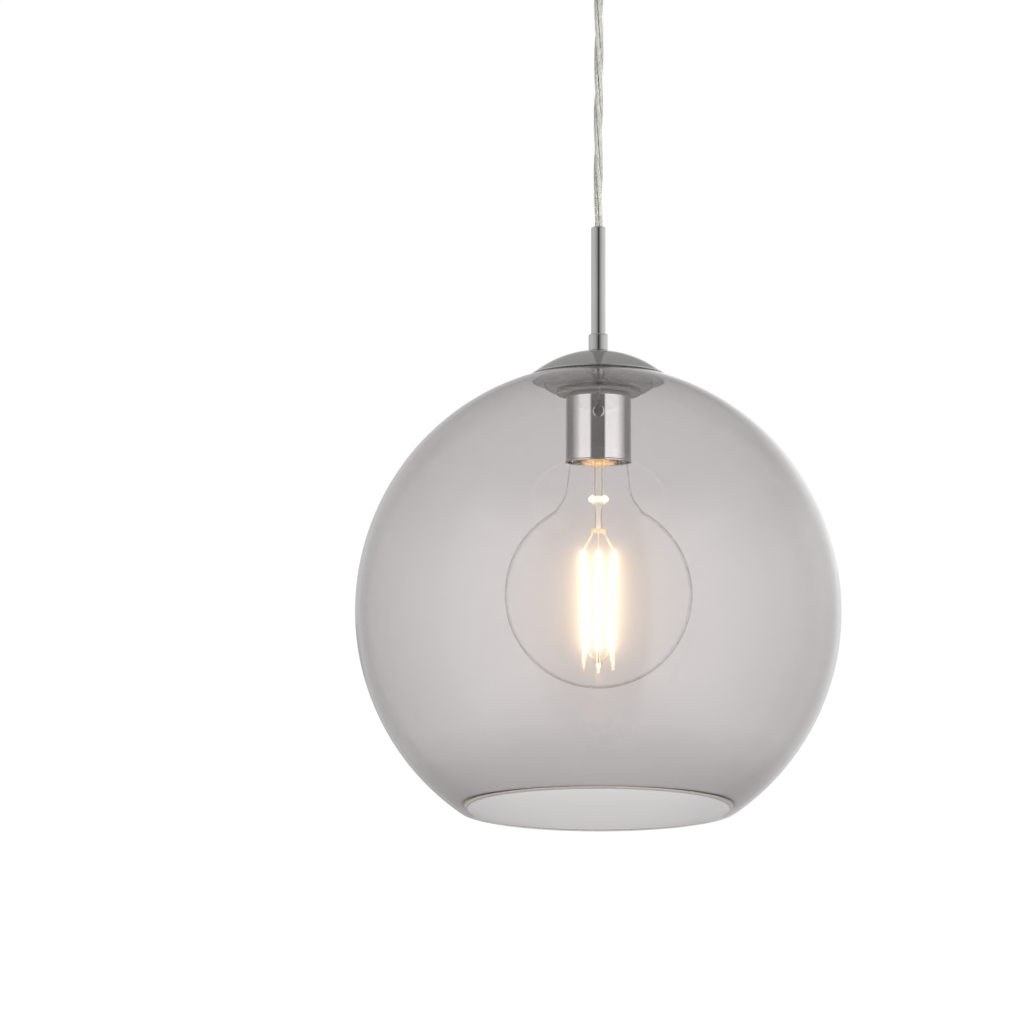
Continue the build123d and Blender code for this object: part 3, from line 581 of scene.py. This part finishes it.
DOME_SPHERE = 65.0 * MM
DOME_SHEET = 1.0 * MM
DOME_RIM = dome_high.x
dome_mid = collar_low.z - DOME_SPHERE
DOME_HOLE = 5.15 * MM
RIM_CUT = 0.45 * MM                        # how far the cut edge turns in under the dome
EDGE_HIGH = 0.75 * MM                      # the dome's upright edge lies between these, above its underside
EDGE_LOW = 0.35 * MM


def dome_face(sphere, start, end, steps=30):
    """Points on a sphere about the dome's centre, from one radius to another."""
    points = []
    for step in range(steps + 1):
        radius = start + (end - start) * math.sin(math.pi / 2 * step / steps)
        points.append((radius, dome_mid + math.sqrt(sphere ** 2 - radius ** 2)))
    return points


dome_profile = [
    *dome_face(DOME_SPHERE, DOME_HOLE, DOME_RIM - 0.1 * MM),
    (DOME_RIM, dome_low.z + EDGE_HIGH),
    (DOME_RIM, dome_low.z + EDGE_LOW),
    (DOME_RIM - RIM_CUT, dome_low.z),
    *reversed(dome_face(DOME_SPHERE - DOME_SHEET, DOME_HOLE, DOME_RIM - DOME_SHEET)),
]
bm = bmesh.new()
add_lathe(bm, dome_profile, ROUND_SEGMENTS)
dome = add_mesh("dome", bm, chrome_painted_shade, sharp_angle=30)
dome.data.materials.append(chrome_painted_light)
# the dome's underside takes the lighter chrome copy, as painted light
for face in dome.data.polygons:
    if (face.center - Vector((0, 0, dome_mid))).length < DOME_SPHERE - DOME_SHEET / 2:
        face.material_index = 1
weigh_normals(dome)
settle(dome, "pendant", "chrome", "dome_cap")

# ---------------------------------------------------------------- lamp cup
CUP_WALL = 0.8 * MM
LIP_RADIUS = cup_high.x
LIP_HEIGHT = 1.2 * MM
CUP_BORE = 5.15 * MM
cup_outline = [
    (CUP_BORE, cup_high.z),
    (CUP_RADIUS, cup_high.z),
    (CUP_RADIUS, cup_low.z + LIP_HEIGHT),
    (LIP_RADIUS, cup_low.z + 0.6 * LIP_HEIGHT),
    (LIP_RADIUS, cup_low.z),
    (CUP_RADIUS - CUP_WALL, cup_low.z),
    (CUP_RADIUS - CUP_WALL, cup_high.z - CUP_WALL),
    (CUP_BORE, cup_high.z - CUP_WALL),
]
cup_softening = [0.2 * MM, 3.4 * MM, 0.3 * MM, 0.3 * MM, 0.4 * MM, 0.3 * MM, 2.6 * MM, 0.2 * MM]
turned("cup", cup_outline, cup_softening, chrome_painted_light, "pendant", "chrome", "lamp_cup",
       segments=ROUND_SEGMENTS)

# ---------------------------------------------------------------- lamp glass
LAMP_WALL = 0.7 * MM                       # finer than the CAD's wall, as blown lamp glass is
BALL_STEPS = 48
NECK_JOINT = math.radians(61.5)
# (radius, height above the globe's middle) in millimetres
neck_shape = [(12.4, 103.0), (12.4, 100.0), (15.6, 96.6), (18.2, 92.0), (19.2, 84.0), (21.4, 71.6)]


def smooth_through(points, steps=6):
    """Catmull-Rom points through a list of (radius, height) points."""
    padded = [points[0], *points, points[-1]]
    result = []
    for a, b, c, d in zip(padded, padded[1:], padded[2:], padded[3:]):
        for step in range(steps):
            t = step / steps
            result.append(tuple(
                0.5 * (2 * q + (r - p) * t + (2 * p - 5 * q + 4 * r - s) * t * t
                       + (3 * q - p - 3 * r + s) * t ** 3)
                for p, q, r, s in zip(a, b, c, d)
            ))
    return result + [points[-1]]


def lamp_face(inset):
    """(radius, height) points of the lamp glass, from its neck down to the bottom of its ball."""
    radius = BULB_RADIUS - inset
    neck = [((r * MM) - inset, MID + h * MM) for r, h in neck_shape]
    neck.append((radius * math.cos(NECK_JOINT), BULB_MID + radius * math.sin(NECK_JOINT)))
    points = smooth_through(neck)
    for step in range(1, BALL_STEPS + 1):
        angle = NECK_JOINT - (NECK_JOINT + math.pi / 2) * step / BALL_STEPS
        points.append((max(radius * math.cos(angle), 0), BULB_MID + radius * math.sin(angle)))
    return points


lamp_outer = lamp_face(0)
lamp_inner = lamp_face(LAMP_WALL)
bm = bmesh.new()
neck_end = [(0, lamp_inner[0][1]), (0, lamp_outer[0][1])]
add_lathe(bm, [*reversed(lamp_inner), *neck_end, *lamp_outer], ROUND_SEGMENTS, closed=False)
bulb = add_mesh("bulb", bm, lamp_glass, sharp_angle=60)
settle(bulb, "lamp", "lamp_glass", "lamp_envelope")

# the glass mount: a flared tube, pinched flat over the lead wires, with a rod that holds the crown
mount_shape = [
    (0.0, 101.6), (11.0, 101.6), (11.1, 100.4), (7.0, 98.2), (4.6, 95.0), (4.0, 91.0),
    (4.0, 84.0), (4.0, 76.0), (4.4, 72.5), (5.4, 70.5), (5.2, 68.6), (3.0, 66.4),
    (1.6, 63.0), (1.3, 56.0), (1.3, 52.2), (0.0, 51.2),
]
PINCH_HEIGHT = MID + 70.0 * MM
PINCH_REACH = 3.6 * MM
PINCH_SPREAD = 0.18
PINCH_SQUEEZE = 0.55


def pinch(radius, angle, height):
    """The mount is squeezed flat in Y and spread in X round the pinch's height."""
    near = math.exp(-((height - PINCH_HEIGHT) / PINCH_REACH) ** 2)
    return radius * near * (PINCH_SPREAD * math.cos(angle) ** 2 - PINCH_SQUEEZE * math.sin(angle) ** 2)


bm = bmesh.new()
mount_points = [(max(r, 0) * MM, MID + h * MM) for r, h in smooth_through(mount_shape, 4)]
add_lathe(bm, mount_points, 48, closed=False, twist=pinch)
mount = add_mesh("lamp_stem", bm, mount_glass_painted_glow, sharp_angle=70)
settle(mount, "lamp", "lamp_glass", "lamp_mount")

# lead wires down the mount, bent out to the crown
LEAD_RADIUS = 0.28 * MM
lead_shape = [(1.6, 98), (1.6, 84), (1.9, 72), (2.2, 66), (1.7, 58), (2.6, 50.6)]
for side, label in ((-1, "left"), (1, "right")):
    path = [Vector((side * r * MM, 0, MID + h * MM)) for r, h in smooth_through(lead_shape, 6)]
    piece = tube_mesh(f"lamp_lead_{label}", path, LEAD_RADIUS, 10, wire)
    settle(piece, "lamp", "lamp_wire")

# ---------------------------------------------------------------- lamp cap with its thread
THREAD_PITCH = 3.629 * MM
THREAD_DEPTH = 0.75 * MM
THREAD_FADE = 2.0 * MM                     # the thread fades out over this at each end
THREAD_STEPS = 60
CAP_RADIUS = cap_high.x
CAP_BORE = 12.45 * MM
CAP_COLLAR = 1.6 * MM                      # plain stretch above the thread


def thread(low, high):
    """A rounded helical thread between two heights, fading out at each end."""
    def reach(radius, angle, height):
        wave = math.cos(2 * math.pi * (height / THREAD_PITCH) + angle)
        fade = max(0.0, min(1.0, (height - low) / THREAD_FADE, (high - height) / THREAD_FADE))
        return THREAD_DEPTH * fade * (wave - 1) / 2
    return reach


THREAD_TOP = cap_high.z - CAP_COLLAR
cap_profile = [(CAP_BORE, cap_low.z), (CAP_RADIUS, cap_low.z)]
for step in range(1, THREAD_STEPS):
    cap_profile.append((CAP_RADIUS, cap_low.z + (THREAD_TOP - cap_low.z) * step / THREAD_STEPS))
cap_profile += [
    (CAP_RADIUS - 0.3 * MM, cap_high.z - 1.0 * MM),
    (CAP_RADIUS - 1.4 * MM, cap_high.z),
    (CAP_RADIUS - 1.8 * MM, cap_high.z - 0.3 * MM),
    (CAP_BORE, cap_high.z - 2.0 * MM),
]
bm = bmesh.new()
add_lathe(bm, cap_profile, 96, twist=thread(cap_low.z + THREAD_FADE, THREAD_TOP))
cap = add_mesh("lamp_thread", bm, nickel, sharp_angle=50)
settle(cap, "lamp", "nickel_shell", "lamp_cap")

# ---------------------------------------------------------------- ceiling rose
ROSE_EDGE = 7.0 * MM
GRIP_HOLE = 5.2 * MM
rose_outline = [
    (GRIP_HOLE, rose_low.z),
    (ROSE_RADIUS, rose_low.z),
    (ROSE_RADIUS, rose_high.z),
    (ROSE_RADIUS - DOME_SHEET, rose_high.z),
    (ROSE_RADIUS - DOME_SHEET, rose_low.z + DOME_SHEET),
    (GRIP_HOLE, rose_low.z + DOME_SHEET),
]
EDGE_FULLNESS = 1.3                        # how far past its radius the rose's rounded edge reaches
rose_softening = [
    0.3 * MM, EDGE_FULLNESS * ROSE_EDGE, 0.4 * MM,
    0.4 * MM, EDGE_FULLNESS * (ROSE_EDGE - DOME_SHEET), 0.3 * MM,
]
turned(
    "rose_cup", rose_outline, rose_softening,
    chrome_painted_light, "rose", "chrome", "ceiling_rose", segments=176,
)

# thumb screws with knurled heads
screw_low, screw_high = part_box("rose_screws")
THUMB_RADIUS = screw_high.y
SCREW_SHAFT = 1.5 * MM
SHAFT_LENGTH = 7.5 * MM
KNURL_SIDES = 96
KNURL_CUT = 0.955
bm = bmesh.new()
for side in (-1, 1):
    face_x = ROSE_RADIUS
    tip_x = screw_high.x
    shape = [
        (0, face_x - SHAFT_LENGTH), (SCREW_SHAFT, face_x - SHAFT_LENGTH), (SCREW_SHAFT, face_x),
        (THUMB_RADIUS * 0.93, face_x), (THUMB_RADIUS, face_x + 0.4 * MM),
        (THUMB_RADIUS, tip_x - 0.6 * MM),
        (THUMB_RADIUS * 0.88, tip_x), (THUMB_RADIUS * 0.55, tip_x), (THUMB_RADIUS * 0.5, tip_x - 0.3 * MM),
        (0, tip_x - 0.3 * MM),
    ]
    rings = []
    for radius, x in shape:
        ring = []
        for step in range(KNURL_SIDES):
            angle = 2 * math.pi * step / KNURL_SIDES
            knurl = KNURL_CUT if step % 4 < 2 and radius > THUMB_RADIUS * 0.9 else 1.0
            reach = max(radius, 1e-6) * knurl
            middle = screw_low.z + THUMB_RADIUS
            point = (side * x, reach * math.cos(angle), middle + reach * math.sin(angle))
            ring.append(bm.verts.new(point))
        rings.append(ring)
    for lower, upper in zip(rings, rings[1:]):
        for step in range(KNURL_SIDES):
            after = (step + 1) % KNURL_SIDES
            bm.faces.new((lower[step], lower[after], upper[after], upper[step]))
    bmesh.ops.remove_doubles(bm, verts=bm.verts, dist=3e-6)
thumbs = add_mesh("thumb_screws", bm, chrome_painted_light, sharp_angle=25, wound=False)
settle(thumbs, "rose", "chrome", "rose_screws")

# ---------------------------------------------------------------- finishes of the CAD nodes that stay
kept_finishes = {
    zinc: (
        "ceiling_bracket", "cord_grip_nut", "cord_grip_screw", "terminal_screws", "terminal_block_screw",
        "earth_screw", "threaded_nipple", "dome_nut", "clamp_washer", "clamp_nut", "holder_bracket",
        "cup_nut", "holder_screws", "holder_terminal_screws",
    ),
    brass: ("terminal_sleeves", "earth_lug", "holder_contact", "holder_terminals"),
    chrome_painted_light: ("cord_grip_body",),
    chrome_painted_shade: ("cup_screw",),
    nylon: ("terminal_block", "cord_clamp_bush"),
    clear_pvc: ("flex_top", "flex_bend", "flex_tail"),
    brown_core: ("upper_live_core", "lower_live_core"),
    blue_core: ("upper_neutral_core", "lower_neutral_core"),
    green_core: ("upper_earth_core", "lower_earth_core"),
    silicone: ("lower_seal", "upper_seal"),
    porcelain: ("holder_body",),
    nickel: ("holder_shell",),
    painted_glow_wire: ("lamp_crown", "filament_hangers"),
    wire: ("filament_tails",),
    mount_glass_painted_glow: ("lamp_foot",),
    filament_light: ("filaments",),
    board: ("driver_board",),
    vitrite: ("cap_insulator",),
    solder: ("cap_eyelet",),
}
for material, names in kept_finishes.items():
    for name in names:
        for material_slot in nodes[name].material_slots:
            material_slot.material = material

# ---------------------------------------------------------------- floor and the light of the room
FLOOR_DROP = -1.35
floor_paint = Paint("pale_floor", (0.93, 0.93, 0.92), 0.9, Emission_Strength=0.62)
floor_paint.shader.inputs["Emission Color"].default_value = (1, 1, 1, 1)
floor_paint.vary("Roughness", floor_paint.noise(3, 3), [(0.3, 0.85), (0.7, 0.95)])
bm = bmesh.new()
bmesh.ops.create_grid(bm, x_segments=4, y_segments=4, size=14)
for vertex in bm.verts:
    vertex.co.z = FLOOR_DROP
floor = add_mesh("floor", bm, floor_paint.material)
floor.visible_glossy = False               # reflections and views through the glass meet the room instead
floor.visible_transmission = False

world = bpy.data.worlds.new("studio")
world.use_nodes = True
bpy.context.scene.world = world
tree = world.node_tree
background = tree.nodes["Background"]
coordinates = tree.nodes.new("ShaderNodeTexCoord")
split_axes = tree.nodes.new("ShaderNodeSeparateXYZ")
tree.links.new(coordinates.outputs["Generated"], split_axes.inputs["Vector"])


def maths(operation, first, second=None):
    """A math node over sockets or plain numbers."""
    node = tree.nodes.new("ShaderNodeMath")
    node.operation = operation
    for socket, value in zip(node.inputs, (first, second)):
        if isinstance(value, bpy.types.NodeSocket):
            tree.links.new(value, socket)
        elif value is not None:
            socket.default_value = value
    return node.outputs["Value"]


def tones(factor, stops):
    """A ramp of greys over a value."""
    node = tree.nodes.new("ShaderNodeValToRGB")
    elements = node.color_ramp.elements
    while len(elements) < len(stops):
        elements.new(0.5)
    for element, (position, grey) in zip(elements, stops):
        element.position = position
        element.color = (grey, grey, grey, 1)
    tree.links.new(factor, node.inputs["Fac"])
    return node.outputs["Color"]


# place round the object: 0.5 at the front, 0.75 to the right, 0.25 to the left, 0 or 1 behind
backwards = maths("MULTIPLY", split_axes.outputs["Y"], -1.0)
azimuth = maths("ARCTAN2", split_axes.outputs["X"], backwards)
turn = maths("ADD", maths("DIVIDE", azimuth, 2 * math.pi), 0.5)


def at(degrees):
    """Place on the ramp of an azimuth in degrees, which is 0 at the front and 90 to the right."""
    return degrees / 360 + 0.5


# tone of the room at each azimuth in degrees: for what is mirrored under the glass, and in the open
glazed_room = [
    (-170, 0.46), (-150, 0.62), (-140, 0.30), (-106, 0.34), (-96, 0.62), (-80, 1.00),
    (-66, 1.65), (-32, 1.65), (-24, 0.22), (20, 0.20), (26, 1.75), (66, 1.75),
    (82, 1.30), (98, 0.75), (110, 0.36), (140, 0.34), (152, 0.62), (170, 0.46),
]
open_room = [
    (-170, 0.66), (-125, 0.66), (-88, 0.74), (-48, 0.58), (-32, 0.50), (-16, 0.30), (-5, 0.06), (4, 0.06),
    (16, 0.21), (32, 0.50), (66, 0.78), (110, 0.92), (150, 1.25), (175, 1.25),
]
BRIGHTEST = 2.0                            # ramps hold tones up to 1, so they are scaled by this


def room_tones(stops):
    """The tones of a room's list, spread round the object."""
    return tones(turn, [(at(degrees), tone / BRIGHTEST) for degrees, tone in stops])


def blend_tones(factor, first, second):
    """Blend two colours by a factor socket."""
    node = tree.nodes.new("ShaderNodeMix")
    node.data_type = "RGBA"
    tree.links.new(factor, node.inputs["Factor"])
    for socket, value in (("A", first), ("B", second)):
        if isinstance(value, bpy.types.NodeSocket):
            tree.links.new(value, node.inputs[socket])
        else:
            node.inputs[socket].default_value = (value, value, value, 1)
    return node.outputs["Result"]


def rise(low, high):
    """A factor from 0 to 1 as a direction climbs from low to high; level is 0, straight up is 1."""
    share = maths("DIVIDE", maths("SUBTRACT", split_axes.outputs["Z"], low), high - low)
    return maths("MINIMUM", maths("MAXIMUM", share, 0.0), 1.0)


OVERHEAD = 0.40 / BRIGHTEST
UNDERFOOT = 0.30 / BRIGHTEST
BACKDROP = 1.02 / BRIGHTEST                # the white that the camera sees behind the light
light_path = tree.nodes.new("ShaderNodeLightPath")
under_glass = maths("GREATER_THAN", light_path.outputs["Transmission Depth"], 0.5)
bare = blend_tones(rise(0.27, 0.5), room_tones(open_room), OVERHEAD)
bare = blend_tones(rise(-0.7, 0.1), UNDERFOOT, bare)
glazed = blend_tones(rise(0.55, 0.80), room_tones(glazed_room), OVERHEAD)
glazed = blend_tones(rise(-0.85, -0.6), UNDERFOOT, glazed)
room = blend_tones(under_glass, bare, glazed)
reflections = maths("ADD", light_path.outputs["Glossy Depth"], light_path.outputs["Diffuse Depth"])
seen_direct = maths("LESS_THAN", reflections, 0.5)
tree.links.new(blend_tones(seen_direct, room, BACKDROP), background.inputs["Color"])
background.inputs["Strength"].default_value = BRIGHTEST

scene = bpy.context.scene
scene.view_settings.view_transform = "Standard"
scene.cycles.max_bounces = 28
scene.cycles.transmission_bounces = 24
scene.cycles.glossy_bounces = 10
scene.cycles.transparent_max_bounces = 16
scene.cycles.use_denoising = True
scene.use_nodes = True

# the lamp's glare: a tight bloom over the filaments and a wide one round them
compositor = scene.node_tree
picture = compositor.nodes["Render Layers"].outputs["Image"]
for strength, size in ((1.0, 0.18), (0.8, 0.62)):
    bloom = compositor.nodes.new("CompositorNodeGlare")
    bloom.glare_type = "BLOOM"
    bloom.quality = "HIGH"
    for socket, value in (("Threshold", 1.8), ("Smoothness", 0.2), ("Strength", strength), ("Size", size)):
        bloom.inputs[socket].default_value = value
    compositor.links.new(picture, bloom.inputs["Image"])
    picture = bloom.outputs["Image"]
compositor.links.new(picture, compositor.nodes["Composite"].inputs["Image"])
